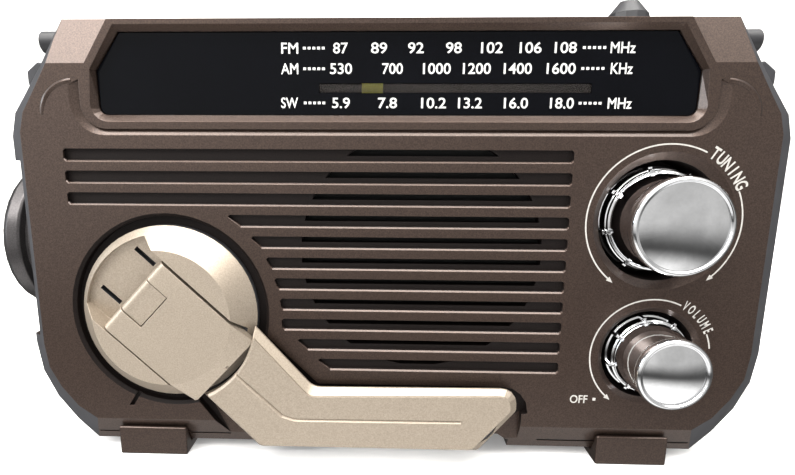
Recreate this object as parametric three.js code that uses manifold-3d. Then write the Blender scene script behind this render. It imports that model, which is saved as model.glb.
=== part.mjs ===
// Crank radio: a hollow two-part case with a sloped dial frame, a slotted speaker grille, two chrome knobs,
// a folding crank with its gear train, a side torch, a carry handle, a telescopic aerial and a battery hatch.
// Millimetres. +X is the radio's right as seen from the front, +Y goes back into the case, +Z is up.
import * as THREE from 'three';
import { mergeVertices } from 'three/addons/utils/BufferGeometryUtils.js';
import Module from 'manifold-3d';

// ---------- driving sizes ----------
const caseDepth = 60;
const frontShellBack = 27.85;
const rearShellFront = 34.15;
const wall = 2.6;
const gap = 0.3;
const shiftX = 4.5;
const shiftY = -32.2;
const chamferDepth = 4;

const crankX = -65.6;
const crankZ = 46.6;
const crankWellRadius = 28.8;
const crankWellDepth = 3;
const wellLip = 0.9;
const hubRadius = 26.2;
const hubTopRadius = 20;
const hubFront = -6.7;
const hubBack = 2.6;
const pocketFloor = -2.3;
const recessFloor = -0.7;
const armFace = -5.7;
const armEdge = -5;
const armRim = -3;
const armBack = -2.4;
const armHingeY = -4.7;
const armBarrel = 2;
const armReach = 2.3;

const tuningX = 76.2;
const tuningZ = 74.8;
const tuningWell = 17.3;
const tuningFloor = 14;
const volumeX = 76.2;
const volumeZ = 35.1;
const volumeWell = 13.4;
const volumeFloor = 9;

const speakerX = 8.5;
const speakerZ = 65.3;
const speakerOpening = 34.8;

const slotPitch = 6.19;
const slotTop = 94.53;
const slotHeight = 3.2;
const slotFloor = 1.4;
const slotOpen = 1.75;
const grilleBack = 4.4;
const bezelDepth = 2.2;
const grooveDepth = 1;

const torchSeat = -107.4;
const torchY = 31;
const torchZ = 65;
const torchFace = -120;

const handlePivotY = 17;
const handlePivotZ = 126.4;

// ---------- booleans ----------
const wasm = await Module();
wasm.setup();

function solid(geometry) {
  const bare = geometry.clone();
  bare.deleteAttribute('normal');
  bare.deleteAttribute('uv');
  const welded = mergeVertices(bare, 1e-4);
  const spots = welded.attributes.position;
  const a = new THREE.Vector3();
  const b = new THREE.Vector3();
  const c = new THREE.Vector3();
  const faces = [];
  let volume = 0;
  for (let i = 0; i < welded.index.count; i += 3) {
    const corners = [welded.index.getX(i), welded.index.getX(i + 1), welded.index.getX(i + 2)];
    if (corners[0] !== corners[1] && corners[1] !== corners[2] && corners[2] !== corners[0]) {
      faces.push(corners);
      a.fromBufferAttribute(spots, corners[0]);
      b.fromBufferAttribute(spots, corners[1]);
      c.fromBufferAttribute(spots, corners[2]);
      volume += a.dot(b.cross(c));
    }
  }
  const outward = faces.map(([p, q, r]) => (volume < 0 ? [p, r, q] : [p, q, r]));
  return new wasm.Manifold(new wasm.Mesh({
    numProp: 3,
    vertProperties: new Float32Array(spots.array),
    triVerts: new Uint32Array(outward.flat()),
  }));
}

function shape(body) {
  const mesh = body.getMesh();
  const geometry = new THREE.BufferGeometry();
  geometry.setAttribute('position', new THREE.BufferAttribute(new Float32Array(mesh.vertProperties), 3));
  geometry.setIndex(new THREE.BufferAttribute(new Uint32Array(mesh.triVerts), 1));
  const flat = geometry.toNonIndexed();
  flat.computeVertexNormals();
  return flat;
}

function join(list) {
  let total = list[0];
  for (const item of list.slice(1)) {
    total = total.add(item);
  }
  return total;
}

function cut(body, list) {
  let rest = body;
  for (const item of list) {
    rest = rest.subtract(item);
  }
  return rest;
}

// ---------- plain solids ----------
// a flat outline in the front plane, given as [x, z] pairs, carried from front to back along Y
function slab(outline, front, back) {
  const flat = new THREE.Shape(outline.map(([x, z]) => new THREE.Vector2(x, z)));
  const geometry = new THREE.ExtrudeGeometry(flat, { depth: back - front, bevelEnabled: false });
  geometry.rotateX(Math.PI / 2);
  geometry.translate(0, back, 0);
  return solid(geometry);
}

// an outline in the YZ plane carried along X
function slabX(outline, left, right) {
  const flat = new THREE.Shape(outline.map(([y, z]) => new THREE.Vector2(y, z)));
  const geometry = new THREE.ExtrudeGeometry(flat, { depth: right - left, bevelEnabled: false });
  geometry.rotateX(Math.PI / 2);
  geometry.rotateZ(Math.PI / 2);
  geometry.translate(left, 0, 0);
  return solid(geometry);
}

function box(x0, x1, y0, y1, z0, z1) {
  const geometry = new THREE.BoxGeometry(x1 - x0, y1 - y0, z1 - z0);
  geometry.translate((x0 + x1) / 2, (y0 + y1) / 2, (z0 + z1) / 2);
  return solid(geometry);
}

// a cylinder or cone along Y, its radius given at the front and at the back
function rodY(x, z, frontRadius, backRadius, front, back, sides = 32) {
  const geometry = new THREE.CylinderGeometry(backRadius, frontRadius, back - front, sides);
  geometry.translate(x, (front + back) / 2, z);
  return solid(geometry);
}

function rodX(y, z, leftRadius, rightRadius, left, right, sides = 32) {
  const geometry = new THREE.CylinderGeometry(rightRadius, leftRadius, right - left, sides);
  geometry.rotateZ(-Math.PI / 2);
  geometry.translate((left + right) / 2, y, z);
  return solid(geometry);
}

function rodZ(x, y, lowRadius, highRadius, low, high, sides = 32) {
  const geometry = new THREE.CylinderGeometry(highRadius, lowRadius, high - low, sides);
  geometry.rotateX(Math.PI / 2);
  geometry.translate(x, y, (low + high) / 2);
  return solid(geometry);
}

// a turned section that does not start on the axis goes back to its first corner
function closed(section) {
  const points = section.map(([radius, along]) => new THREE.Vector2(radius, along));
  if (section[0][0] > 0) {
    points.push(points[0].clone());
  }
  return points;
}

// a turned piece about a Y axis, its section given as [radius, y] pairs
function turnedY(x, z, section, sides = 32) {
  const points = closed(section);
  const geometry = new THREE.LatheGeometry(points, sides);
  geometry.translate(x, 0, z);
  return solid(geometry);
}

// a turned piece about an X axis, its section given as [radius, x] pairs
function turnedX(y, z, section, sides = 32) {
  const points = closed(section);
  const geometry = new THREE.LatheGeometry(points, sides);
  geometry.rotateZ(-Math.PI / 2);
  geometry.translate(0, y, z);
  return solid(geometry);
}

// a skin between two outlines with the same number of corners, at two depths
function loft(front, frontY, back, backY) {
  const count = front.length;
  const positions = [];
  for (const [x, z] of front) {
    positions.push(x, frontY, z);
  }
  for (const [x, z] of back) {
    positions.push(x, backY, z);
  }
  const frontFaces = THREE.ShapeUtils.triangulateShape(front.map(([x, z]) => new THREE.Vector2(x, z)), []);
  const backFaces = THREE.ShapeUtils.triangulateShape(back.map(([x, z]) => new THREE.Vector2(x, z)), []);
  const index = [];
  for (const [a, b, c] of frontFaces) {
    index.push(a, b, c);
  }
  for (const [a, b, c] of backFaces) {
    index.push(count + a, count + c, count + b);
  }
  for (let i = 0; i < count; i += 1) {
    const j = (i + 1) % count;
    index.push(i, count + i, count + j, i, count + j, j);
  }
  const geometry = new THREE.BufferGeometry();
  geometry.setAttribute('position', new THREE.Float32BufferAttribute(positions, 3));
  geometry.setIndex(index);
  return solid(geometry);
}

// an outline whose corners, given as [x, z, radius], are rounded by an arc of a few straight steps
function rounded(corners, steps = 5) {
  const count = corners.length;
  const points = [];
  corners.forEach(([x, z, radius], i) => {
    if (!radius) {
      points.push([x, z]);
      return;
    }
    const corner = new THREE.Vector2(x, z);
    const before = new THREE.Vector2(...corners[(i + count - 1) % count].slice(0, 2)).sub(corner).normalize();
    const after = new THREE.Vector2(...corners[(i + 1) % count].slice(0, 2)).sub(corner).normalize();
    const halfAngle = Math.acos(before.dot(after)) / 2;
    const middle = before.clone().add(after).normalize();
    const centre = corner.clone().addScaledVector(middle, radius / Math.sin(halfAngle));
    const start = corner.clone().addScaledVector(before, radius / Math.tan(halfAngle)).sub(centre);
    const end = corner.clone().addScaledVector(after, radius / Math.tan(halfAngle)).sub(centre);
    const turn = Math.atan2(start.cross(end), start.dot(end));
    for (let k = 0; k <= steps; k += 1) {
      const spot = start.clone().rotateAround(new THREE.Vector2(), (turn * k) / steps).add(centre);
      points.push([spot.x, spot.y]);
    }
  });
  return points;
}

// mirror a right-hand outline, listed from top to bottom, into a whole anticlockwise one
function bothSides(right) {
  const left = right.map(([x, z, radius]) => (radius ? [-x, z, radius] : [-x, z]));
  return [...right.slice().reverse(), ...left];
}

// the outline of a spur gear with plain trapezoid teeth; one tooth points along the given angle
function gearOutline(cx, cz, teeth, pitchRadius, pointing) {
  const size = (2 * pitchRadius) / teeth;
  const tip = pitchRadius + 0.75 * size;
  const root = pitchRadius - 1.15 * size;
  const pitchAngle = (2 * Math.PI) / teeth;
  const points = [];
  for (let i = 0; i < teeth; i += 1) {
    const middle = pointing + i * pitchAngle;
    const corners = [[-0.27, root], [-0.12, tip], [0.12, tip], [0.27, root]];
    for (const [step, radius] of corners) {
      const angle = middle + step * pitchAngle;
      points.push([cx + radius * Math.cos(angle), cz + radius * Math.sin(angle)]);
    }
  }
  return points;
}

// ---------- parts list ----------
const radio = new THREE.Group();
radio.name = 'crank_radio';
const placed = new THREE.Group();
placed.name = 'case_frame';
placed.position.set(shiftX, shiftY, 0);
radio.add(placed);

const palette = {
  bronze: { color: 0x6b564a, metalness: 0.6, roughness: 0.42 },
  champagne: { color: 0xb09f84, metalness: 0.6, roughness: 0.4 },
  graphite: { color: 0x34363a, metalness: 0.1, roughness: 0.6 },
  black: { color: 0x0a0b0e, metalness: 0.1, roughness: 0.15 },
  chrome: { color: 0xd8dadc, metalness: 1, roughness: 0.06 },
  clear: { color: 0xdfe8ea, metalness: 0, roughness: 0.05, transparent: true, opacity: 0.35 },
  amber: { color: 0xb9b03a, metalness: 0, roughness: 0.45 },
  rubber: { color: 0x1b1b1c, metalness: 0, roughness: 0.85 },
  paper: { color: 0x202022, metalness: 0, roughness: 0.9 },
  steel: { color: 0x9a9c9e, metalness: 0.9, roughness: 0.35 },
  brass: { color: 0xb0903f, metalness: 0.9, roughness: 0.35 },
  board: { color: 0x2f6b3a, metalness: 0.1, roughness: 0.6 },
  white: { color: 0xd9d9d2, metalness: 0, roughness: 0.5 },
  blue: { color: 0x22406e, metalness: 0.1, roughness: 0.5 },
  silver: { color: 0xb9bbbd, metalness: 0.8, roughness: 0.3 },
  solar: { color: 0x141b33, metalness: 0.3, roughness: 0.2 },
};

function place(name, body, look) {
  const mesh = new THREE.Mesh(shape(body), new THREE.MeshStandardMaterial(palette[look]));
  mesh.name = name;
  placed.add(mesh);
  return mesh;
}

// ---------- case outlines ----------
const faceRight = [
  [89.5, 129.1], [96, 117.6], [100.8, 109.5], [103.9, 104.5], [105.3, 99], [105.3, 36],
  [104.4, 28.5], [101.2, 22], [96.5, 15.8], [91, 11.8],
];
const bodyRight = [
  [92.7, 130], [100.2, 117.6], [105.6, 109.5], [109, 104.5], [110.5, 98], [110.5, 35],
  [109.2, 25.5], [105.4, 17], [99.6, 9.2], [93.5, 3.1],
];
const innerRight = [
  [89.5, 126.5], [97, 116.2], [101.6, 108.6], [104.2, 103.6], [105.6, 97.2], [105.6, 36],
  [104.6, 27], [101.3, 19.2], [96.5, 12], [92, 5.7],
];
const backRight = [
  [90.4, 126.1], [97.4, 116], [102.6, 108], [106, 103], [107.5, 97], [107.5, 36],
  [106.2, 27], [102.7, 19], [97.4, 11.6], [92, 6.1],
];
const faceOutline = bothSides(faceRight);
const bodyOutline = bothSides(bodyRight);
const innerOutline = bothSides(innerRight);
const backOutline = bothSides(backRight);

// ---------- dial frame outlines ----------
const bezelOutline = rounded(bothSides([[76.4, 127.7], [83.8, 116], [84.7, 102, 4.6]]));
const windowEdge = rounded(bothSides([[76, 126], [83, 116], [82.8, 104.1, 2.4]]));
const windowPocket = rounded(bothSides([[76.2, 126.3], [83.3, 116], [83.1, 103.8, 2.6]]));
const windowBack = rounded(bothSides([[73.6, 123], [79.4, 115], [79.4, 106.5, 2]]));
const ribOutline = rounded(bothSides([[87.2, 113.4], [87.2, 113.3], [87.2, 100, 6.8]]), 8);
const grooveOutline = rounded(bothSides([[87.2, 113.4], [90.3, 111.9], [90.3, 98.3, 9.2]]), 8);

// ---------- crank arm plan, in a frame that runs along the fold line ----------
const foldStart = [-82.7, 44.9];
const foldTilt = THREE.MathUtils.degToRad(43.3);
const foldAlong = [Math.sin(foldTilt), Math.cos(foldTilt)];
const foldAcross = [Math.cos(foldTilt), -Math.sin(foldTilt)];
function onArm(across, along) {
  return [
    foldStart[0] + across * foldAcross[0] + along * foldAlong[0],
    foldStart[1] + across * foldAcross[1] + along * foldAlong[1],
  ];
}
// a rectangle of the arm's frame, across the fold line from one distance to another
function armStrip(from, to, low, high) {
  return [onArm(from, low), onArm(to, low), onArm(to, high), onArm(from, high)];
}
const armTopPlan = rounded([
  [-42.5, 44.3], [-23.6, 23.1, 4], [35.2, 24.2, 3], [35.1, 19.5, 1.2], [24.3, 7.2, 2], [-38.2, 7.2, 2], [-58, 27.2],
], 4).reverse();
const armRimPlan = rounded([
  [-41.1, 45.5], [-22.7, 24.95, 4.8], [37.3, 25.5, 4.6], [37.5, 18.6, 2], [26.7, 5.6, 2.2], [-39.2, 5.4, 2.4],
  [-59.4, 26.2],
], 4).reverse();
const armRecessPlan = rounded([
  [-44, 46.6], [-21.6, 24.6, 1.5], [41.9, 24.7, 8], [41.7, 16], [40, 15.8], [39.7, 4], [-48, 4], [-60, 20],
], 4).reverse();
const lineTop = [[-48, 33], [-31.3, 17.3], [-27.6, 16.15], [21, 16.4]];
const linePlan = [...lineTop, [21, 16.2], [-27.7, 15.95], [-31.5, 17.1], [-48.2, 32.8]].reverse();
const linePlanFront = [...lineTop, [21, 15.4], [-28.1, 15.15], [-32.1, 16.4], [-48.7, 32.1]].reverse();

// ---------- front shell ----------
const frontOuter = join([
  loft(faceOutline, 0, bodyOutline, chamferDepth),
  slab(bodyOutline, chamferDepth, frontShellBack),
]);
const dialPad = slab(bothSides([[90, 140], [90, 101.5]]), wall - 1, 7.4);
const tuningCup = rodY(tuningX, tuningZ, tuningWell + 2, tuningWell + 2, 1, tuningFloor + 2.2, 24);
const volumeCup = rodY(volumeX, volumeZ, volumeWell + 2, volumeWell + 2, 1, volumeFloor + 2.2, 24);
const crankPad = rodY(crankX, crankZ, crankWellRadius + 2, crankWellRadius + 2, 1, crankWellDepth + 2.6, 28);
const armPad = box(-50, 46, 1, 5.2, 4, 29);
const scoopPad = box(-25, 42, 1, 13, 3, 15);
const frontCavity = cut(slab(innerOutline, wall, frontShellBack + 1), [
  dialPad, tuningCup, volumeCup, crankPad, armPad, scoopPad,
  rodY(speakerX, speakerZ, speakerOpening + 4, speakerOpening + 4, 1, grilleBack, 40),
]);

// light facets at the two upper corners, leaning back from the dial frame
function cornerFacet(side) {
  const low = [[85.2, 117.65], [100.2, 117.65], [95, 130], [77.4, 130]].map(([x, z]) => [side * x, z]);
  const profile = [[-1, 117.65], [0, 117.65], [3.6, 130], [-1, 130]];
  const wedge = slabX(profile, side > 0 ? 60 : -105, side > 0 ? 105 : -60);
  const plan = side > 0 ? low : low.slice().reverse();
  return wedge.intersect(slab(plan, -2, 6));
}

const slotEnds = [
  [-93.5, -93.5], [-93.5, -93.5], [-93.5, -93.5], [-47.1, -44.1], [-40.6, -38.2], [-36.4, -35.2],
  [-34.1, -33.3], [-32.6, -32.3], [-32.3, -32.1], [-27.6, -25.2], [-21.6, -18.6],
];
const slots = slotEnds.map(([topLeft, lowLeft], row) => {
  const high = slotTop - row * slotPitch;
  const low = high - slotHeight;
  return [
    [lowLeft + 0.6, low], [49.4, low], [50, low + 0.6], [50, high - 0.6], [49.4, high],
    [topLeft + 0.6, high], [topLeft, high - 0.6], [lowLeft, low + 0.6],
  ];
});
const slotLip = 0.45;
const slotTops = join(slots.flatMap((outline, row) => {
  const middle = slotTop - row * slotPitch - slotHeight / 2;
  const lip = outline.map(([x, z]) => (z < middle ? [x, z - slotLip] : [x, z]));
  return [slab(outline, -1, slotFloor), loft(lip, -0.001, outline, slotLip)];
}));
const slotThrough = join(slots.map((outline, row) => {
  const high = slotTop - row * slotPitch;
  return box(-30, 50, 0, grilleBack + 1, high - slotOpen, high).intersect(slab(outline, -1, grilleBack + 2));
}));
const speakerHole = rodY(speakerX, speakerZ, speakerOpening, speakerOpening, -2, grilleBack + 2, 40);
const scoopPlan = [[-22, 2], [37.1, 2], [37.1, 5.6], [31.2, 9.5], [27, 12], [-16, 12], [-22, 8]].reverse();
const tickDepth = 1.3;
const tickPlan = [[-75.6, 21.8], [-77.1, 21.6], [-80.5, 16.4], [-79, 16.4]];

const frontShell = cut(frontOuter, [
  frontCavity,
  cornerFacet(1),
  cornerFacet(-1),
  loft(bezelOutline, -0.001, windowEdge, bezelDepth),
  slab(windowPocket, bezelDepth - 0.2, 5),
  slab(windowBack, 4, 9),
  loft(grooveOutline, -0.001, ribOutline, grooveDepth).subtract(slab(ribOutline, -1, 3)),
  slab(scoopPlan, -1, 10.4),
  slab(tickPlan, -1, tickDepth),
  slotTops,
  slotThrough.intersect(speakerHole),
  rodY(tuningX, tuningZ, tuningWell + 2.5, tuningWell, -0.2, 2.2, 40),
  rodY(tuningX, tuningZ, tuningWell, tuningWell, -1, tuningFloor, 40),
  rodY(volumeX, volumeZ, volumeWell + 1.6, volumeWell, -0.1, 1.4, 36),
  rodY(volumeX, volumeZ, volumeWell, volumeWell, -1, volumeFloor, 36),
  rodY(tuningX, tuningZ, 3.3, 3.3, tuningFloor - 1, tuningFloor + 4, 16),
  rodY(volumeX, volumeZ, 3.3, 3.3, volumeFloor - 1, volumeFloor + 4, 16),
  rodY(crankX, crankZ, crankWellRadius, crankWellRadius, -1, crankWellDepth, 56),
  rodY(crankX, crankZ, crankWellRadius + wellLip, crankWellRadius, -0.001, wellLip, 56),
  rodY(crankX, crankZ, 7.3, 7.3, 1, 9, 20),
  slab(armRecessPlan, -1, 2.4),
  rodX(torchY, torchZ, 20.6, 20.6, -115, -100, 32),
  box(-112, torchSeat, 0.5, 40, 38, 91),
  rodZ(70.1, 20, 3.4, 3.4, 122, 132, 20),
  rodX(handlePivotY, handlePivotZ, 2.3, 2.3, 84, 112, 20),
  rodX(handlePivotY, handlePivotZ, 2.3, 2.3, -112, -84, 20),
  box(102, 112, 9.4, 13.6, 93, 103),
]);
place('front_shell', frontShell, 'bronze');

// ---------- middle band ----------
const bandFront = frontShellBack + gap;
const bandBack = rearShellFront - gap;
const band = cut(slab(bodyOutline, bandFront, bandBack), [
  slab(innerOutline, bandFront - 1, bandBack + 1),
  rodX(torchY, torchZ, 20.6, 20.6, -115, -100, 32),
  box(-112, torchSeat, 20, 40, 38, 91),
]);
place('middle_band', band, 'graphite');

// ---------- rear shell ----------
const rearOuter = join([
  slab(bodyOutline, rearShellFront, caseDepth - 4),
  loft(bodyOutline, caseDepth - 4, backOutline, caseDepth),
]);
const hatchLeft = -46;
const hatchRight = 46;
const hatchLow = 16;
const hatchHigh = 60;
const hatchY = caseDepth - 1.5;
const screwSpots = [[-82, 112], [82, 112], [-86, 22], [86, 22]];
const rearCuts = [
  slab(innerOutline, rearShellFront - 1, caseDepth - wall),
  rodX(torchY, torchZ, 20.6, 20.6, -115, -100, 32),
  box(-112, torchSeat, 30, 56, 38, 91),
  box(hatchLeft, hatchRight, caseDepth - 5, caseDepth + 1, hatchLow, hatchHigh),
  box(-44, 44, 34.5, 52, 128.5, 131),
  rodY(92, 98, 3.3, 3.3, caseDepth - 6, caseDepth + 1, 24),
];
for (const [x, z] of screwSpots) {
  rearCuts.push(rodY(x, z, 1.5, 1.5, caseDepth - 6, caseDepth + 1, 10));
  rearCuts.push(rodY(x, z, 3.4, 3.4, caseDepth - 1.4, caseDepth + 1, 14));
}
place('rear_shell', cut(rearOuter, rearCuts), 'graphite');

screwSpots.forEach(([x, z], i) => {
  const screw = join([
    rodY(x, z, 1.2, 1.2, caseDepth - 7.5, caseDepth - 1, 10),
    rodY(x, z, 2.9, 2.9, caseDepth - 1.1, caseDepth - 0.1, 14),
  ]);
  const cross = [box(x - 1.7, x + 1.7, caseDepth - 0.7, caseDepth + 1, z - 0.3, z + 0.3),
    box(x - 0.3, x + 0.3, caseDepth - 0.7, caseDepth + 1, z - 1.7, z + 1.7)];
  place(`case_screw_${i + 1}`, cut(screw, cross), 'steel');
});

// solar panel let into the roof of the rear shell
place('solar_panel', box(-43.7, 43.7, 34.8, 51.7, 128.8, 129.9), 'solar');

// ---------- feet ----------
const footProfile = [[-0.4, 0], [58.5, 0], [58.5, 2.8], [3.6, 2.8], [0.85, 9.2], [-0.4, 9.2]];
[[-1, 'left'], [1, 'right']].forEach(([side, name]) => {
  const centre = side * 73.7;
  place(`foot_${name}`, slabX(footProfile, centre - 10.6, centre + 10.6), 'rubber');
});

// ---------- dial ----------
const slotWindow = box(-20.6, 54.3, 0, 10, 110, 112.6);
const windowPlate = slab(windowEdge, bezelDepth + 0.3, 4.6);
place('dial_window', windowPlate.subtract(slotWindow), 'black');
place('dial_slot_lens', box(-20.4, 54.1, 2.5, 3.9, 110.2, 112.4), 'clear');
place('dial_backing', box(-72, 72, 7.7, 8.9, 103, 124), 'graphite');
place('dial_pointer', join([box(-8.8, -2.8, 4.95, 6.2, 107, 115.4), box(-7, -4.6, 5.2, 7.4, 115, 118.6)]), 'amber');

// ---------- knobs ----------
function notchedRing(x, z, radius, count, width, depth, front, back) {
  const cutters = [];
  for (let i = 0; i < count; i += 1) {
    const angle = (2 * Math.PI * (i + 0.5)) / count;
    const geometry = new THREE.BoxGeometry(depth * 2, back - front, width);
    geometry.rotateY(-angle);
    geometry.translate(x + radius * Math.cos(angle), (front + back) / 2, z + radius * Math.sin(angle));
    cutters.push(solid(geometry));
  }
  return join(cutters);
}
const tuningKnob = join([
  turnedY(tuningX, tuningZ, [
    [0, 13.3], [16, 13.3], [16, 4], [14.2, 2.6], [13.6, 1.6], [13.6, -8.6], [12.4, -10], [7, -11.1], [0, -11.5],
  ].reverse(), 28),
  rodY(tuningX, tuningZ, 3, 3, 12, 19, 16),
]);
place('tuning_knob', tuningKnob.subtract(notchedRing(tuningX, tuningZ, 16, 14, 2.4, 1.1, 4.8, 14)), 'chrome');
const volumeKnob = join([
  turnedY(volumeX, volumeZ, [
    [0, 8.4], [12.3, 8.4], [12.3, 0.4], [10.9, -0.8], [10.2, -1.8], [10.2, -12.3], [9.2, -13.5], [5, -14.3], [0, -14.6],
  ].reverse(), 24),
  rodY(volumeX, volumeZ, 3, 3, 7, 13.4, 16),
]);
place('volume_knob', volumeKnob.subtract(notchedRing(volumeX, volumeZ, 12.3, 12, 2.2, 1, 1.2, 9)), 'chrome');
place('tuning_capacitor', cut(box(66, 86.4, 16.6, 24, 65, 84.6), [
  rodY(tuningX, tuningZ, 3.3, 3.3, 16, 19.4, 16),
]), 'white');
place('volume_control', cut(rodY(volumeX, volumeZ, 9.5, 9.5, 11.6, 19, 20), [
  rodY(volumeX, volumeZ, 3.3, 3.3, 11, 13.8, 16),
]), 'steel');

const selectorKnob = join([
  rodZ(70.1, 20, 6.6, 6.6, 130.4, 131.6, 12),
  rodZ(70.1, 20, 6.3, 5.6, 131.5, 134.5, 12),
  rodZ(70.1, 20, 5.6, 2.6, 134.4, 138.2, 12),
  rodZ(70.1, 20, 3, 3, 122.4, 131, 20),
]);
place('selector_knob', selectorKnob, 'rubber');
place('band_switch', cut(box(60, 80.2, 12, 27.2, 113, 124.6), [rodZ(70.1, 20, 3.3, 3.3, 122, 125, 20)]), 'white');

// ---------- crank ----------
const stripLow = -1;
const stripHigh = 26.5;
const knuckleFar = 8.4;
const knuckleLow = 7.3;
const knuckleHigh = 18.8;
const pinRadius = 1;
function foldRod(radius, fromAlong, toAlong, sides) {
  const geometry = new THREE.CylinderGeometry(radius, radius, toAlong - fromAlong, sides);
  geometry.rotateX(Math.PI / 2);
  geometry.rotateY(foldTilt);
  const middle = onArm(armReach, (fromAlong + toAlong) / 2);
  geometry.translate(middle[0], armHingeY, middle[1]);
  return solid(geometry);
}
const knuckle = join([
  slab(armStrip(armReach, knuckleFar, knuckleLow, knuckleHigh), hubFront + gap, pocketFloor + 1),
  slab(
    armStrip(armReach - 1.5, knuckleFar - 0.5, knuckleLow, knuckleHigh),
    armHingeY + 0.2,
    pocketFloor + 0.8,
  ),
  foldRod(armBarrel - 0.1, knuckleLow + 0.1, knuckleHigh - 0.1, 24),
]);
const hubTurned = turnedY(crankX, crankZ, [
  [0, hubFront], [hubTopRadius, hubFront], [hubRadius, 0], [hubRadius, hubBack], [0, hubBack],
], 56);
const recessRim = rodY(crankX, crankZ, hubRadius - 2.2, hubRadius - 2.2, -8, recessFloor, 48);
const recessPlan = armStrip(-40, armReach, stripLow, stripHigh);
const platePlan = armStrip(armReach - 2, 45, stripLow, stripHigh);
const hubBody = cut(hubTurned, [
  slab(platePlan, -8, pocketFloor),
  slab(recessPlan, -8, recessFloor).intersect(recessRim),
]);
const pocketSlots = [5.2, 21.2].map((along) => slab(armStrip(-8.5, -1.2, along - 0.7, along + 0.7), -3, 1.4));
place('crank_hub', cut(join([hubBody, knuckle]), [
  ...pocketSlots,
  foldRod(pinRadius + 0.05, knuckleLow - 1, knuckleHigh + 1, 20),
]), 'champagne');

const rootLow = -0.5;
const rootHigh = 25.6;
const armRoot = join([
  slab(armStrip(armReach, 35, rootLow, rootHigh), hubFront, armHingeY + armBarrel),
  foldRod(armBarrel, rootLow, rootHigh, 24),
]);
const armStart = hubRadius + 0.2;
const coneFoot = -4.7;
const rootLimit = join([
  rodY(crankX, crankZ, hubTopRadius, armStart, hubFront - 0.01, coneFoot, 56),
  rodY(crankX, crankZ, armStart + 0.5, armStart + 0.5, coneFoot, 1, 56),
]);
const armOuter = cut(join([
  slab(armTopPlan, armFace, armEdge),
  loft(armTopPlan, armEdge, armRimPlan, armRim),
  slab(armRimPlan, armRim, armBack),
]), [
  rodY(crankX, crankZ, armStart, armStart, -8, 0, 56),
  rodY(crankX, crankZ, armStart + 0.7, armStart, armFace - 0.01, armEdge, 56),
]);
const gripX = 25.5;
const gripZ = 14.8;
place('crank_arm', cut(join([armRoot.intersect(rootLimit), armOuter]), [
  slab(armStrip(-2, knuckleFar + gap, knuckleLow - gap, knuckleHigh + gap), -8, 0),
  foldRod(pinRadius + 0.05, 0.6, 24.5, 20),
  loft(linePlanFront, armFace - 0.01, linePlan, armFace + 0.7),
  rodY(gripX, gripZ, 6.3, 6.3, -4.2, 1, 28),
  rodY(gripX, gripZ, 1.6, 1.6, -5.2, 1, 20),
]), 'champagne');
place('crank_hinge_pin', foldRod(pinRadius, 1, 24.1, 20), 'steel');
place('crank_grip', join([
  rodY(gripX, gripZ, 6, 6, -3.9, -0.6, 28),
  rodY(gripX, gripZ, 1.55, 1.55, -4.9, -3.8, 20),
]), 'graphite');

const gearFront = 12;
const idlerAngle = THREE.MathUtils.degToRad(60);
const firstPair = 28.8;
const idlerX = crankX + firstPair * Math.cos(idlerAngle);
const idlerZ = crankZ + firstPair * Math.sin(idlerAngle);
const pinionAngle = THREE.MathUtils.degToRad(118);
const secondPair = 24;
const pinionX = idlerX + secondPair * Math.cos(pinionAngle);
const pinionZ = idlerZ + secondPair * Math.sin(pinionAngle);
place('crank_shaft', rodY(crankX, crankZ, 4, 4, hubBack + gap, 24, 24), 'steel');
place('crank_bearing', cut(rodY(crankX, crankZ, 7, 7, 3.2, 11, 20), [
  rodY(crankX, crankZ, 4.08, 4.08, 3, 12, 24),
]), 'brass');
place('crank_gear', cut(slab(gearOutline(crankX, crankZ, 36, 21.6, idlerAngle), gearFront, gearFront + 4.5), [
  rodY(crankX, crankZ, 4.3, 4.3, gearFront - 1, gearFront + 6, 16),
]), 'white');
place('idler_gear', cut(join([
  slab(gearOutline(idlerX, idlerZ, 12, 7.2, idlerAngle + Math.PI + Math.PI / 12), gearFront - 0.4, gearFront + 6),
  slab(gearOutline(idlerX, idlerZ, 36, 18, pinionAngle), gearFront + 5.8, gearFront + 9),
]), [rodY(idlerX, idlerZ, 1.6, 1.6, 0, 30, 12)]), 'white');
place('dynamo_pinion', cut(slab(
  gearOutline(pinionX, pinionZ, 12, 6, pinionAngle + Math.PI + Math.PI / 12), gearFront + 5.4, gearFront + 9.4,
), [rodY(pinionX, pinionZ, 1.55, 1.55, 0, 30, 12)]), 'brass');
place('dynamo', join([
  rodY(pinionX, pinionZ, 13, 13, 26, 46, 24),
  rodY(pinionX, pinionZ, 1.45, 1.45, 17, 27, 12),
]), 'steel');
place('gear_plate', join([
  cut(slab([
    [crankX - 12, crankZ - 10], [crankX + 14, crankZ - 10], [idlerX + 8, idlerZ],
    [pinionX + 14, pinionZ + 4], [pinionX - 10, pinionZ + 8], [crankX - 14, crankZ + 10],
  ], 24.4, 25.7), [
    rodY(pinionX, pinionZ, 3, 3, 20, 30, 12),
  ]),
  rodY(idlerX, idlerZ, 1.5, 1.5, 10, 25, 12),
]), 'steel');

// ---------- loudspeaker ----------
place('speaker_frame', turnedY(speakerX, speakerZ, [
  [33, 4.8], [35.8, 4.8], [35.8, 6.9], [34.4, 6.9], [20, 19.6], [14, 19.6], [14, 18.4], [19.2, 18.4], [33, 6.3],
], 24), 'steel');
place('speaker_cone', turnedY(speakerX, speakerZ, [
  [0, 12.2], [9.4, 13.6], [13, 16], [30.6, 5.7], [31.4, 5.7], [31.4, 6.8], [13.2, 17.3], [8.8, 14.8], [0, 13.4],
].reverse(), 24), 'paper');
place('speaker_magnet', rodY(speakerX, speakerZ, 16.5, 16.5, 19.8, 30, 24), 'steel');

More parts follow.
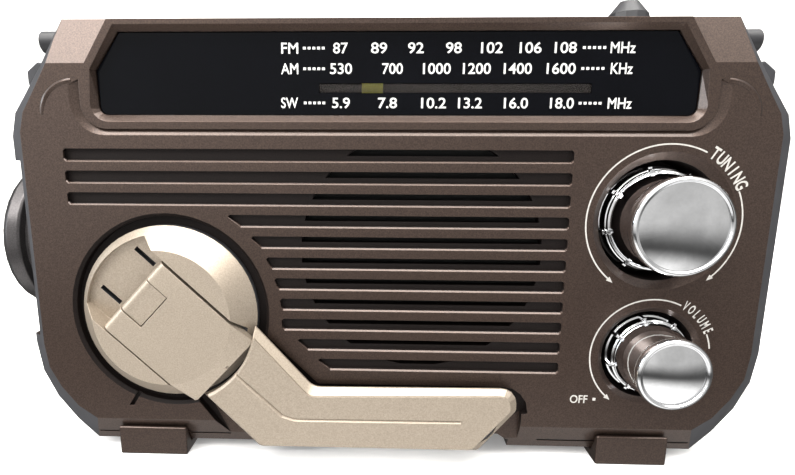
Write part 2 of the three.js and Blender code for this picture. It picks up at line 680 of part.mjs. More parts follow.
// ---------- electronics and cells ----------
place('circuit_board', box(52, 101, 25.2, 26.8, 20, 96), 'board');
place('battery_box', cut(box(-44, 44, 34.6, 54.6, 18, 58), [
  box(-42.4, 42.4, 36.2, 56, 19.6, 56.4),
]), 'black');
[[28.6, 1], [47.4, 2]].forEach(([z, i]) => {
  place(`cell_${i}`, join([
    rodX(45.4, z, 8.2, 8.2, -38, 36, 20),
    rodX(45.4, z, 2.6, 2.6, 35.8, 38.6, 12),
  ]), 'blue');
});
place('rechargeable_pack', box(-30, 44, 38, 52, 66, 92), 'blue');
const hatchPivotZ = hatchLow + 1.7;
place('battery_hatch', join([
  box(hatchLeft + gap, hatchRight - gap, caseDepth - 2.7, caseDepth - 0.3, hatchPivotZ, hatchHigh - gap),
  rodX(hatchY, hatchPivotZ, 1.2, 1.2, hatchLeft + gap, hatchRight - gap, 16),
]), 'graphite');

// ---------- torch ----------
place('torch_ring', turnedX(torchY, torchZ, [
  [17.2, -104], [19.9, -104], [19.9, -108], [23.4, -108], [23.4, -112.4], [22.2, -112.8], [22.2, -113.9],
  [24.2, -114.3], [24.6, -115], [24.6, -118.2], [23.6, torchFace], [21.6, torchFace], [21, -116.4], [17.2, -113.6],
], 32), 'silver');
place('torch_reflector', turnedX(torchY, torchZ, [
  [4.2, -96], [6, -96], [11, -98.4], [16.8, -106], [16.8, -112.4], [16, -112.4], [15.8, -106.4], [10.2, -99.6],
  [4.2, -97.4],
], 24), 'chrome');
place('torch_lens', rodX(torchY, torchZ, 20.4, 17.6, -116.2, -114.2, 32), 'clear');
place('torch_lamp', rodX(torchY, torchZ, 2.2, 3.4, -103, -94, 16), 'white');

// ---------- handle ----------
const armInner = 100.6;
const armOuterX = 106.4;
const eyeRadius = 3.3;
const barFront = 69;
const barBack = 79;
function handleArm(side) {
  const low = side > 0 ? armInner : -armOuterX;
  const high = side > 0 ? armOuterX : -armInner;
  return join([
    rodX(handlePivotY, handlePivotZ, eyeRadius, eyeRadius, low, high, 28),
    slabX([
      [handlePivotY, handlePivotZ - eyeRadius], [barFront + 5, 119.5], [barFront + 5, 127.6],
      [handlePivotY, handlePivotZ + eyeRadius],
    ], low, high),
  ]);
}
const bar = slabX([
  [barFront, 119.5], [barFront + 2, 117.5], [barBack - 2, 117.5], [barBack, 119.5], [barBack, 128],
  [barBack - 2, 130], [barFront + 2, 130], [barFront, 128],
], -armOuterX, armOuterX);
const pivotHoles = [
  rodX(handlePivotY, handlePivotZ, 2.06, 2.06, -120, -90, 24),
  rodX(handlePivotY, handlePivotZ, 2.06, 2.06, 90, 120, 24),
];
place('handle', cut(join([handleArm(-1), handleArm(1), bar]), pivotHoles), 'rubber');
place('handle_pin_left', rodX(handlePivotY, handlePivotZ, 2, 2, -106.2, -88, 24), 'steel');
place('handle_pin_right', rodX(handlePivotY, handlePivotZ, 2, 2, 88, 106.2, 24), 'steel');

// bumpers on the shoulders under the handle arms
const bumper = [
  [100.4, 118.6], [104.4, 119.6], [107.8, 116.9], [107.8, 113.8], [107.1, 110.4], [105, 110.4],
];
place('shoulder_bumper_right', slab(bumper.slice().reverse(), 9, 27), 'graphite');
place('shoulder_bumper_left', slab(bumper.map(([x, z]) => [-x, z]), 9, 27), 'graphite');

// ---------- side switch ----------
place('torch_switch', join([
  box(105.8, 109.3, 9.8, 13.2, 95, 99.4),
  box(109.2, 111, 10.2, 12.8, 95.8, 98.6),
]), 'graphite');

// ---------- aerial ----------
const aerialX = 92;
const aerialZ = 98;
const aerialY = 64.4;
place('aerial_swivel', join([
  rodY(aerialX, aerialZ, 3, 3, caseDepth - 5.4, caseDepth + 1, 24),
  rodY(aerialX, aerialZ, 5.2, 5.2, caseDepth + 0.3, caseDepth + 8, 28),
]).subtract(rodX(aerialY, aerialZ, 3.1, 3.1, 80, 95.2, 20)), 'steel');
function tube(outer, inner, left, right) {
  return rodX(aerialY, aerialZ, outer, outer, left, right, 20)
    .subtract(rodX(aerialY, aerialZ, inner, inner, left - 1, right - 1.5, 20));
}
place('aerial_outer', tube(2.8, 2.25, -60, 94.9), 'chrome');
place('aerial_middle', tube(2.2, 1.65, -62, 92.9), 'chrome');
place('aerial_inner', join([
  rodX(aerialY, aerialZ, 1.6, 1.6, -63, 90.5, 20),
  rodX(aerialY, aerialZ, 3, 2.4, -68, -62.6, 20),
]), 'chrome');

export default radio;
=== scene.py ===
import math

import bmesh
import bpy
from mathutils import Matrix, Vector


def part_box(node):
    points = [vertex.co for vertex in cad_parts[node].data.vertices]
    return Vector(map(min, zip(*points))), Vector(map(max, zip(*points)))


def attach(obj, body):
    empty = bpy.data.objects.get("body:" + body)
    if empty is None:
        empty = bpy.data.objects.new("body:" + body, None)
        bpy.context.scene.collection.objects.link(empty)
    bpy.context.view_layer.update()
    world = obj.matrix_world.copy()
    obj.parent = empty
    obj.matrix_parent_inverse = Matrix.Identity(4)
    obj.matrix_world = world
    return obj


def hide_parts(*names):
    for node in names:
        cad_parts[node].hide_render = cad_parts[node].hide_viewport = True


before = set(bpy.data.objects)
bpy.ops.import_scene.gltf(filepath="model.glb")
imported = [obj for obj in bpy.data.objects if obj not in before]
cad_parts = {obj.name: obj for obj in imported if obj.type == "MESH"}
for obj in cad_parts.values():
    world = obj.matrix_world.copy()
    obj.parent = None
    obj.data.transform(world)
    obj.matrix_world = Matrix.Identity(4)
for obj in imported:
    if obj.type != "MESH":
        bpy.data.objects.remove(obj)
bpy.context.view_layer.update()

# ---------- places, in millimetres from the middle of the front panel at floor level ----------
MM = 0.001
case_low, case_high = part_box("front_shell")
CENTRE_X = (case_low.x + case_high.x) / 2
FACE_Y = case_low.y

CRANK = (-65.6, 46.6)
CRANK_WELL = 28.8
POCKET_FLOOR = -2.3
TUNING = (76.2, 74.8)
TUNING_WELL = 17.3
VOLUME = (76.2, 35.1)
VOLUME_WELL = 13.4
SPEAKER = (8.5, 65.3)
GRILLE_BACK = 4.4
WINDOW_FRONT = 2.5
PRINT_LIFT = 0.05


def at(x, y, z):
    """A point given in millimetres across, back from the front panel, and up."""
    return Vector((CENTRE_X + x * MM, FACE_Y + y * MM, z * MM))


def round_point(centre, radius, angle, y):
    """A point on a circle that faces the front, its angle in radians from the right."""
    return at(centre[0] + radius * math.cos(angle), y, centre[1] + radius * math.sin(angle))


def from_front(point):
    """A point of the rest frame as millimetres across, back from the front panel, and up."""
    return (point.x - CENTRE_X) / MM, (point.y - FACE_Y) / MM, point.z / MM


# ---------- camera ----------
CAMERA_PLACE = (-2.604, -141.393, 93.63)
CAMERA_TURN = 1.7917
CAMERA_TILT = -10.1064
CAMERA_ROLL = 0.2409


def make_camera():
    """The camera, turned to the left, tilted down and rolled by the angles above, in degrees."""
    data = bpy.data.cameras.new("camera")
    camera = bpy.data.objects.new("camera", data)
    bpy.context.scene.collection.objects.link(camera)
    turned = Matrix.Rotation(math.radians(CAMERA_TURN), 4, "Z")
    tilted = Matrix.Rotation(math.radians(90 + CAMERA_TILT), 4, "X")
    rolled = Matrix.Rotation(math.radians(CAMERA_ROLL), 4, "Z")
    camera.matrix_world = Matrix.Translation(at(*CAMERA_PLACE)) @ turned @ tilted @ rolled
    data.sensor_width = 36
    data.lens = 22.64
    data.shift_x = 0.0385
    data.shift_y = 0.0057
    data.clip_start = 0.005
    bpy.context.scene.camera = camera


make_camera()


# ---------- materials ----------
def new_material(name, color, metallic, roughness, coat=0.0, coat_roughness=0.1):
    material = bpy.data.materials.new(name)
    material.use_nodes = True
    shader = material.node_tree.nodes["Principled BSDF"]
    shader.inputs["Base Color"].default_value = (*color, 1)
    shader.inputs["Metallic"].default_value = metallic
    shader.inputs["Roughness"].default_value = roughness
    shader.inputs["Coat Weight"].default_value = coat
    shader.inputs["Coat Roughness"].default_value = coat_roughness
    return material, shader


def noise(material, scale, detail, roughness):
    tree = material.node_tree
    place = tree.nodes.new("ShaderNodeTexCoord")
    texture = tree.nodes.new("ShaderNodeTexNoise")
    texture.inputs["Scale"].default_value = scale
    texture.inputs["Detail"].default_value = detail
    texture.inputs["Roughness"].default_value = roughness
    tree.links.new(place.outputs["Object"], texture.inputs["Vector"])
    return texture


def two_tones(material, shader, source, low, dark, high, light):
    """Colours a material between two tones by a pattern, from its low value to its high one."""
    tree = material.node_tree
    node = tree.nodes.new("ShaderNodeValToRGB")
    for element, position, color in zip(node.color_ramp.elements, (low, high), (dark, light)):
        element.position = position
        element.color = (*color, 1)
    tree.links.new(source, node.inputs["Fac"])
    tree.links.new(node.outputs["Color"], shader.inputs["Base Color"])


def bump(material, shader, source, strength, distance):
    tree = material.node_tree
    node = tree.nodes.new("ShaderNodeBump")
    node.inputs["Strength"].default_value = strength
    node.inputs["Distance"].default_value = distance
    tree.links.new(source, node.inputs["Height"])
    tree.links.new(node.outputs["Normal"], shader.inputs["Normal"])


def round_edges(material, radius=0.25):
    """Shades the material's edges as if they had a small radius in millimetres."""
    tree = material.node_tree
    edge = tree.nodes.new("ShaderNodeBevel")
    edge.samples = 6
    edge.inputs["Radius"].default_value = radius * MM
    grain = next(node for node in tree.nodes if node.bl_idname == "ShaderNodeBump")
    tree.links.new(edge.outputs["Normal"], grain.inputs["Normal"])


FLAKE_GRAIN = 2600
FLAKE_DEPTH = 0.00006
GRIT_DEPTH = 0.00004


def speckled_paint(
    name, dark, light, metallic, roughness, strength=0.25, coat=0.0, coat_roughness=0.2
):
    """Metallic paint over plastic: fine flakes of two tones and a very shallow grain."""
    material, shader = new_material(name, light, metallic, roughness, coat, coat_roughness)
    flakes = noise(material, FLAKE_GRAIN, 3.0, 0.7)
    two_tones(material, shader, flakes.outputs["Fac"], 0.34, dark, 0.66, light)
    bump(material, shader, flakes.outputs["Fac"], strength, FLAKE_DEPTH)
    return material


def worn(name, color, metallic, roughness, spread=0.08, grain=300, fine=0.12):
    """A plain finish whose gloss and tone vary a little over the surface."""
    material, shader = new_material(name, color, metallic, roughness)
    cloud = noise(material, grain, 4.0, 0.6)
    darker = tuple(c * 0.82 for c in color)
    lighter = tuple(min(1.0, c * 1.12) for c in color)
    two_tones(material, shader, cloud.outputs["Fac"], 0.3, darker, 0.7, lighter)
    tree = material.node_tree
    scaled = tree.nodes.new("ShaderNodeMapRange")
    scaled.inputs["To Min"].default_value = max(0.02, roughness - spread)
    scaled.inputs["To Max"].default_value = min(1.0, roughness + spread)
    tree.links.new(cloud.outputs["Fac"], scaled.inputs["Value"])
    tree.links.new(scaled.outputs["Result"], shader.inputs["Roughness"])
    if fine:
        grit = noise(material, grain * 12, 2.0, 0.6)
        bump(material, shader, grit.outputs["Fac"], fine, GRIT_DEPTH)
    return material


BRONZE = speckled_paint(
    "bronze_paint", (0.040, 0.0265, 0.021), (0.078, 0.052, 0.0415), 0.75, 0.36,
    coat=0.4, coat_roughness=0.17,
)
# painted shade: a very dark matt paint that stands in for the shadow in the front panel's slots, wells and
# recesses
RECESS_SHADE_PAINT = speckled_paint(
    "painted_shade_in_recess", (0.004, 0.0023, 0.002), (0.010, 0.006, 0.0052), 0.0, 0.6,
)
CHAMPAGNE = speckled_paint(
    "champagne_paint", (0.285, 0.24, 0.192), (0.395, 0.334, 0.268), 0.65, 0.43,
    coat=0.2, coat_roughness=0.3,
)
SILVER = speckled_paint(
    "gunmetal_paint", (0.06, 0.056, 0.058), (0.09, 0.085, 0.086), 0.8, 0.3, strength=0.15,
)
GRAPHITE = worn("graphite_plastic", (0.030, 0.030, 0.034), 0.0, 0.58)
BLACK_PLASTIC = worn("black_plastic", (0.02, 0.02, 0.023), 0.0, 0.45)
WINDOW = worn("gloss_black_window", (0.0012, 0.0014, 0.0022), 0.0, 0.07, 0.02, 60, 0.0)
SLOT_GLASS = worn("smoked_slot", (0.03, 0.026, 0.024), 0.0, 0.12, 0.03, 80, 0.0)
AMBER = worn("pointer_paint", (0.42, 0.40, 0.035), 0.0, 0.45, 0.08, 900)
WHITE_PRINT = worn("white_print", (0.5, 0.5, 0.49), 0.0, 0.5, 0.05, 2500, 0.0)
PALE_PRINT = worn("pale_print", (0.34, 0.325, 0.305), 0.0, 0.5, 0.05, 2500, 0.0)
CHROME = worn("chrome_plate", (0.86, 0.87, 0.89), 1.0, 0.045, 0.015, 120, 0.0)
STEEL = worn("zinc_steel", (0.5, 0.5, 0.51), 1.0, 0.3)
BRASS = worn("turned_brass", (0.6, 0.43, 0.16), 1.0, 0.28)
WHITE_PLASTIC = worn("white_nylon", (0.62, 0.62, 0.58), 0.0, 0.45)
BOARD = worn("board_mask", (0.02, 0.13, 0.045), 0.0, 0.4, 0.06, 500)
WRAP = worn("cell_wrap", (0.02, 0.06, 0.2), 0.0, 0.25, 0.05, 200)
PAPER = worn("cone_paper", (0.014, 0.014, 0.015), 0.0, 0.8, 0.1, 700)
CLOTH = worn("speaker_cloth", (0.006, 0.006, 0.006), 0.0, 0.95, 0.03, 900)

for material, level in ((WINDOW, 0.12), (GRAPHITE, 0.3), (BLACK_PLASTIC, 0.35), (RECESS_SHADE_PAINT, 0.2)):
    material.node_tree.nodes["Principled BSDF"].inputs["Specular IOR Level"].default_value = level
SLOT_GLASS.node_tree.nodes["Principled BSDF"].inputs["Alpha"].default_value = 0.3
for material in (BRONZE, RECESS_SHADE_PAINT, CHAMPAGNE, GRAPHITE, BLACK_PLASTIC, SILVER):
    round_edges(material)


def solar_cells():
    """Dark blue cells with silver lines between them, in metres."""
    material, shader = new_material("solar_cells", (0.01, 0.014, 0.05), 0.3, 0.18)
    tree = material.node_tree
    place = tree.nodes.new("ShaderNodeTexCoord")
    cells = tree.nodes.new("ShaderNodeTexBrick")
    cells.offset = 0.0
    cells.inputs["Color1"].default_value = (0.008, 0.012, 0.045, 1)
    cells.inputs["Color2"].default_value = (0.012, 0.018, 0.06, 1)
    cells.inputs["Mortar"].default_value = (0.45, 0.46, 0.48, 1)
    cells.inputs["Scale"].default_value = 1.0
    cells.inputs["Mortar Size"].default_value = 0.00022
    cells.inputs["Brick Width"].default_value = 0.0109
    cells.inputs["Row Height"].default_value = 0.00845
    tree.links.new(place.outputs["Object"], cells.inputs["Vector"])
    tree.links.new(cells.outputs["Color"], shader.inputs["Base Color"])
    return material


def clear_lens():
    """Clear plastic with faint rings round the torch's axis."""
    material, shader = new_material("clear_lens", (0.9, 0.94, 0.95), 0.0, 0.06)
    shader.inputs["Transmission Weight"].default_value = 0.85
    shader.inputs["IOR"].default_value = 1.49
    tree = material.node_tree
    rings = tree.nodes.new("ShaderNodeTexWave")
    rings.wave_type = "RINGS"
    rings.rings_direction = "X"
    rings.inputs["Scale"].default_value = 60
    place = tree.nodes.new("ShaderNodeTexCoord")
    tree.links.new(place.outputs["Object"], rings.inputs["Vector"])
    bump(material, shader, rings.outputs["Fac"], 0.1, 0.0001)
    return material


SOLAR = solar_cells()
LENS = clear_lens()

# ---------- looks of the CAD nodes ----------
NODE_LOOKS = {
    "front_shell": BRONZE, "middle_band": GRAPHITE, "rear_shell": GRAPHITE, "solar_panel": SOLAR,
    "foot_left": BRONZE, "foot_right": BRONZE, "dial_window": WINDOW, "dial_slot_lens": SLOT_GLASS,
    "dial_backing": BLACK_PLASTIC, "dial_pointer": AMBER, "tuning_capacitor": WHITE_PLASTIC,
    "volume_control": STEEL, "selector_knob": BLACK_PLASTIC, "band_switch": WHITE_PLASTIC,
    "crank_hub": CHAMPAGNE, "crank_arm": CHAMPAGNE, "crank_hinge_pin": STEEL, "crank_grip": BLACK_PLASTIC,
    "crank_shaft": STEEL, "crank_bearing": BRASS, "crank_gear": WHITE_PLASTIC, "idler_gear": WHITE_PLASTIC,
    "dynamo_pinion": BRASS, "dynamo": STEEL, "gear_plate": STEEL, "speaker_frame": STEEL,
    "speaker_cone": PAPER, "speaker_magnet": STEEL, "circuit_board": BOARD, "battery_box": BLACK_PLASTIC,
    "cell_1": WRAP, "cell_2": WRAP, "rechargeable_pack": WRAP, "battery_hatch": GRAPHITE,
    "torch_ring": SILVER, "torch_reflector": CHROME, "torch_lens": LENS, "torch_lamp": WHITE_PLASTIC,
    "handle": BLACK_PLASTIC, "handle_pin_left": STEEL, "handle_pin_right": STEEL,
    "shoulder_bumper_left": GRAPHITE, "shoulder_bumper_right": GRAPHITE, "torch_switch": BLACK_PLASTIC,
    "aerial_swivel": STEEL, "aerial_outer": CHROME, "aerial_middle": CHROME, "aerial_inner": CHROME,
    "tuning_knob": CHROME, "volume_knob": CHROME,
    "case_screw_1": STEEL, "case_screw_2": STEEL, "case_screw_3": STEEL, "case_screw_4": STEEL,
}

# small pieces whose edges get a real radius, in millimetres
EDGE_WIDTH = {
    "foot_left": 0.5, "foot_right": 0.5, "shoulder_bumper_left": 0.5, "shoulder_bumper_right": 0.5,
    "selector_knob": 0.25, "torch_switch": 0.2, "crank_grip": 0.3, "dial_pointer": 0.1, "torch_ring": 0.25,
}
# edges sharper than this many degrees stay crisp, with less for the pieces that have shallow slopes
SHARP_ANGLE = 28
SHALLOW_ANGLE = {"front_shell": 14.5, "crank_arm": 16, "crank_hub": 16}
FLAT_ANGLE = 0.6
WELD_DISTANCE = 0.000004


def bevel_edges(node, width, sharp_angle):
    bevel = node.modifiers.new("soft_edges", "BEVEL")
    bevel.width = width * MM
    bevel.segments = 2
    bevel.limit_method = "ANGLE"
    bevel.angle_limit = math.radians(sharp_angle)
    bevel.harden_normals = True


def soften(name, node):
    """Shades a CAD node smooth over its round walls, and rounds the edges of the pieces in EDGE_WIDTH."""
    mesh = node.data
    for layer_name in ("custom_normal", "sharp_face", "sharp_edge"):
        layer = mesh.attributes.get(layer_name)
        if layer is not None:
            mesh.attributes.remove(layer)
    mesh.polygons.foreach_set("use_smooth", [True] * len(mesh.polygons))
    weld = node.modifiers.new("weld", "WELD")
    weld.merge_threshold = WELD_DISTANCE
    if name in EDGE_WIDTH:
        flats = node.modifiers.new("whole_flats", "DECIMATE")
        flats.decimate_type = "DISSOLVE"
        flats.angle_limit = math.radians(FLAT_ANGLE)
        bevel_edges(node, EDGE_WIDTH[name], SHARP_ANGLE)
    else:
        crisp = node.modifiers.new("crisp_edges", "EDGE_SPLIT")
        crisp.use_edge_sharp = False
        crisp.split_angle = math.radians(SHALLOW_ANGLE.get(name, SHARP_ANGLE))


def dress_nodes():
    for name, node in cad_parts.items():
        node.data.materials.clear()
        node.data.materials.append(NODE_LOOKS[name])
        soften(name, node)


PANEL_MIDDLE = at(0, 0, 66)
SKIN = 0.05


def on_dark_rim(face, x, depth, z):
    """Whether a face of the front shell slopes outward in the strip round the panel's edge."""
    outward = face.center - PANEL_MIDDLE
    outward.y = 0
    outward.normalize()
    faces_out = abs(face.normal.x) > 0.2 and face.normal.dot(outward) > 0.25
    upper_corner = z > 117.7 and abs(x) > 88
    lower_corner = z < 30 and abs(x) > 90.5
    return depth > SKIN and faces_out and (abs(x) > 97.5 or upper_corner or lower_corner)


def on_well_slope(face, x, depth, z):
    """Whether a face of the front shell is on the painted slope round a knob's well."""
    slopes = depth < 1.5 and abs(face.normal.y) > 0.4
    for centre, radius in ((TUNING, TUNING_WELL), (VOLUME, VOLUME_WELL)):
        if slopes and radius - 0.1 < math.hypot(x - centre[0], z - centre[1]) < radius + 3:
            return True
    return False


def dress_front_shell():
    """Dark plastic on the outward sloping rim, and a very dark matt paint as painted shade in the slots,
    wells and recesses and on the crank well's lip.
    """
    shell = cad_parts["front_shell"].data
    shell.materials.append(GRAPHITE)
    shell.materials.append(RECESS_SHADE_PAINT)
    for face in shell.polygons:
        x, depth, z = from_front(face.center)
        in_recess = depth > 0.4 and abs(x) < 99 and 12 < z < 96.5
        on_crank_lip = depth > SKIN and math.hypot(x - CRANK[0], z - CRANK[1]) < CRANK_WELL + 1
        if on_dark_rim(face, x, depth, z):
            face.material_index = 1
        # painted shade on the crank well's lip and on the recess faces, except the knob wells' slopes
        elif on_crank_lip or (in_recess and not on_well_slope(face, x, depth, z)):
            face.material_index = 2


def paint_crank_pocket_shade():
    """Painted shade: the floor under the folding plate, the two slots beside the fold and the faces further
    back than the recess floor get dark plastic, standing in for the shadow in the gaps along the plate.
    """
    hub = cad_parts["crank_hub"].data
    hub.materials.append(GRAPHITE)
    for face in hub.polygons:
        depth = from_front(face.center)[1]
        if depth > -0.6 or abs(depth - POCKET_FLOOR) < SKIN:
            face.material_index = 1


dress_nodes()
dress_front_shell()
paint_crank_pocket_shade()


# ---------- building helpers ----------
def add_mesh(name, verts, faces, material, body, smooth=False):
    mesh = bpy.data.meshes.new(name)
    mesh.from_pydata([tuple(v) for v in verts], [], faces)
    mesh.update()
    builder = bmesh.new()
    builder.from_mesh(mesh)
    bmesh.ops.recalc_face_normals(builder, faces=builder.faces)
    builder.to_mesh(mesh)
    builder.free()
    mesh.polygons.foreach_set("use_smooth", [smooth] * len(mesh.polygons))
    mesh.materials.append(material)
    piece = bpy.data.objects.new(name, mesh)
    bpy.context.scene.collection.objects.link(piece)
    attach(piece, body)
    return piece


def grid_faces(rows, columns, closed):
    """Quads between the rows of a grid of vertices, joined round from the last column if it is closed."""
    faces = []
    for k in range(rows - 1):
        for i in range(columns if closed else columns - 1):
            j = (i + 1) % columns
            faces.append([k * columns + i, k * columns + j, (k + 1) * columns + j, (k + 1) * columns + i])
    return faces


def text_shape(text, height, weight, width=None, narrow=None):
    """The triangles of a line of text, its lower left corner at zero, in millimetres.

    It is as wide as width says, or else its natural width times narrow.
    """
    curve = bpy.data.curves.new("letters", "FONT")
    curve.body = text
    curve.size = 1.0
    curve.offset = weight
    curve.resolution_u = 4
    holder = bpy.data.objects.new("letters", curve)
    bpy.context.scene.collection.objects.link(holder)
    bpy.context.view_layer.update()
    graph = bpy.context.evaluated_depsgraph_get()
    mesh = bpy.data.meshes.new_from_object(holder.evaluated_get(graph))
    xs = [v.co.x for v in mesh.vertices]
    ys = [v.co.y for v in mesh.vertices]
    scale_y = height / (max(ys) - min(ys))
    scale_x = width / (max(xs) - min(xs)) if width else scale_y * narrow
    points = [((v.co.x - min(xs)) * scale_x, (v.co.y - min(ys)) * scale_y) for v in mesh.vertices]
    faces = [list(p.vertices) for p in mesh.polygons]
    bpy.data.objects.remove(holder)
    bpy.data.curves.remove(curve)
    bpy.data.meshes.remove(mesh)
    return points, faces


class Gathered:
    """Collects flat pieces that are printed together into one mesh, at one depth in millimetres."""

    def __init__(self, depth):
        self.depth = depth
        self.verts = []
        self.faces = []

    def add(self, points, faces):
        """Adds faces over points given as (x, z) in millimetres."""
        start = len(self.verts)
        self.verts.extend([at(x, self.depth, z) for x, z in points])
        self.faces.extend([[i + start for i in face] for face in faces])

    def add_box(self, centre_x, centre_z, width, height):
        x0 = centre_x - width / 2
        x1 = centre_x + width / 2
        z0 = centre_z - height / 2
        z1 = centre_z + height / 2
        self.add([(x0, z0), (x1, z0), (x1, z1), (x0, z1)], [[0, 1, 2, 3]])

    def add_text(self, text, x0, x1, low, height):
        points, faces = text_shape(text, height, weight=0.013, width=x1 - x0)
        self.add([(x0 + px, low + pz) for px, pz in points], faces)

    def piece(self, name, material):
        add_mesh(name, self.verts, self.faces, material, "case")


# ---------- dial print ----------
# each row: its middle height, its band, its unit and its numbers, with where each text starts and ends
DIAL_ROWS = [
    (121.88, ("FM", -30.9, -26.2), ("MHz", 58.4, 65.1),
     [("87", -16.6, -12.5), ("89", -6.2, -1.8), ("92", 3.9, 8.2), ("98", 14.2, 18.5),
      ("102", 23.7, 29.6), ("106", 34.1, 40.0), ("108", 43.5, 49.4)]),
    (116.47, ("AM", -31.1, -26.3), ("KHz", 58.9, 64.8),
     [("530", -17.5, -11.4), ("700", -3.1, 2.6), ("1000", 8.1, 15.7), ("1200", 19.0, 26.6),
      ("1400", 30.1, 37.7), ("1600", 41.7, 49.5)]),
    (107.33, ("SW", -31.3, -26.5), ("MHz", 58.9, 65.4),
     [("5.9", -17.0, -12.0), ("7.8", -4.2, 1.1), ("10.2", 7.8, 14.7), ("13.2", 18.0, 24.6),
      ("16.0", 30.6, 37.2), ("18.0", 43.2, 49.7)]),
]
DIAL_TEXT_HEIGHT = 2.9
DOT_ROWS = ((-24.9, -18.9), (51.0, 57.2))
DOTS = 5
DOT_WIDTH = 0.8
DOT_HEIGHT = 0.7


def dial_print():
    sheet = Gathered(WINDOW_FRONT - PRINT_LIFT)
    for middle, band, unit, numbers in DIAL_ROWS:
        for text, x0, x1 in (band, unit, *numbers):
            sheet.add_text(text, x0, x1, middle - DIAL_TEXT_HEIGHT / 2, DIAL_TEXT_HEIGHT)
        for first, last in DOT_ROWS:
            for i in range(DOTS):
                centre = first + DOT_WIDTH / 2 + (last - first - DOT_WIDTH) * i / (DOTS - 1)
                sheet.add_box(centre, middle, DOT_WIDTH, DOT_HEIGHT)
    sheet.piece("dial_print", WHITE_PRINT)


dial_print()

# ---------- printed arcs and labels round the knobs ----------
# each arc: its centre, its radius, where it starts and ends in degrees, and whether it ends in an arrowhead
ARCS = (
    (TUNING, 21.6, 63.6, 229, True),
    (TUNING, 21.3, 24.4, -46, True),
    (VOLUME, 17.3, 64.6, 227, True),
    (VOLUME, 17.1, 24.3, 9, False),
)
ARC_WIDTH = 0.42
ARROW_LENGTH = 1.9
ARROW_HALF_WIDTH = 0.75


def add_arc(sheet, centre, radius, start, end):
    steps = max(6, int(abs(end - start) / 3))
    points = []
    for i in range(steps + 1):
        angle = math.radians(start + (end - start) * i / steps)
        for r in (radius - ARC_WIDTH / 2, radius + ARC_WIDTH / 2):
            points.append((centre[0] + r * math.cos(angle), centre[1] + r * math.sin(angle)))
    sheet.add(points, grid_faces(steps + 1, 2, False))


def add_arrow_head(sheet, centre, radius, angle, turn):
    """A small solid arrowhead at an arc's end; turn is +1 for anticlockwise and -1 for clockwise."""
    a = math.radians(angle)
    out = (math.cos(a), math.sin(a))
    ahead = (-out[1] * turn * ARROW_LENGTH, out[0] * turn * ARROW_LENGTH)
    points = [(centre[0] + radius * out[0] + ahead[0], centre[1] + radius * out[1] + ahead[1])]
    for side in (-ARROW_HALF_WIDTH, ARROW_HALF_WIDTH):
        points.append((centre[0] + (radius + side) * out[0], centre[1] + (radius + side) * out[1]))
    sheet.add(points, [[0, 1, 2]])


def add_arc_label(sheet, text, centre, radius, start, end, height, narrow):
    """Letters along an arc, read clockwise, with their tops pointing away from the centre."""
    step = (end - start) / (len(text) - 1)
    for i, letter in enumerate(text):
        points, faces = text_shape(letter, height, weight=0.022, narrow=narrow)
        angle = math.radians(start + step * i)
        out = (math.cos(angle), math.sin(angle))
        along = (out[1], -out[0])
        middle = max(px for px, pz in points) / 2
        placed = []
        for px, pz in points:
            x = centre[0] + out[0] * (radius + pz) + along[0] * (px - middle)
            z = centre[1] + out[1] * (radius + pz) + along[1] * (px - middle)
            placed.append((x, z))
        sheet.add(placed, faces)


def knob_print():
    sheet = Gathered(-PRINT_LIFT)
    for centre, radius, start, end, pointed in ARCS:
        add_arc(sheet, centre, radius, start, end)
        if pointed:
            add_arrow_head(sheet, centre, radius, end, 1 if end > start else -1)
    add_arc_label(sheet, "TUNING", TUNING, 20.6, 58.5, 28, 3.6, 0.66)
    add_arc_label(sheet, "VOLUME", VOLUME, 16.4, 60.5, 27, 2.9, 0.5)
    sheet.add_text("OFF", 54.1, 59.3, 19.9, 2.6)
    sheet.add_box(61.25, 21.25, 0.9, 0.9)
    sheet.piece("knob_print", PALE_PRINT)


knob_print()

# ---------- plated knobs ----------
# the three levels that a skirt's surface lies at
RIB = 0
FRAME = 1
INSET = 2
PANELS = 8
# a skirt's steps from back to front: the share of its length, then how far below the
# skirt's radius the ribs, the frames and the panels let into them lie
SKIRT_STEPS = (
    (0.0, 2.2, 2.2, 2.2),
    (0.0, 0.4, 0.9, 0.9),
    (0.06, 0.0, 0.5, 0.5),
    (0.16, 0.0, 0.5, 0.5),
    (0.19, 0.0, 0.5, 0.8),
    (0.48, 0.0, 0.5, 0.8),
    (0.51, 0.0, 0.5, 0.5),
    (0.60, 0.0, 0.5, 0.5),
    (0.62, 0.1, 1.0, 1.0),
    (0.90, 0.3, 1.1, 1.1),
    (0.92, 0.9, 1.5, 1.5),
    (1.0, 1.0, 1.6, 1.6),
)
# the rolled rim of a cap: how far behind the cap's front and below its radius each point lies
CAP_RIM = ((1.3, 0.0), (0.6, 0.12), (0.2, 0.4), (0.0, 0.85), (0.12, 1.2), (0.5, 1.4), (0.6, 1.65))
DOME_RISE = 1.5
DOME_STEPS = 9


def skirt_angles():
    """Angles round a skirt in degrees, each with its level: a rib, then a frame round an inset panel."""
    turn = 360.0 / PANELS
    spans = []
    for i in range(PANELS):
        start = turn * i + 11
        end = start + turn
        first = start + 7.9
        last = end - 3.9
        spans += [(start, RIB), (start + 4, RIB), (start + 4.7, FRAME), (start + 7.2, FRAME)]
        spans += [(first + (last - first) * k / 5, INSET) for k in range(6)]
        spans += [(end - 3.2, FRAME), (end - 0.7, FRAME)]
    return spans


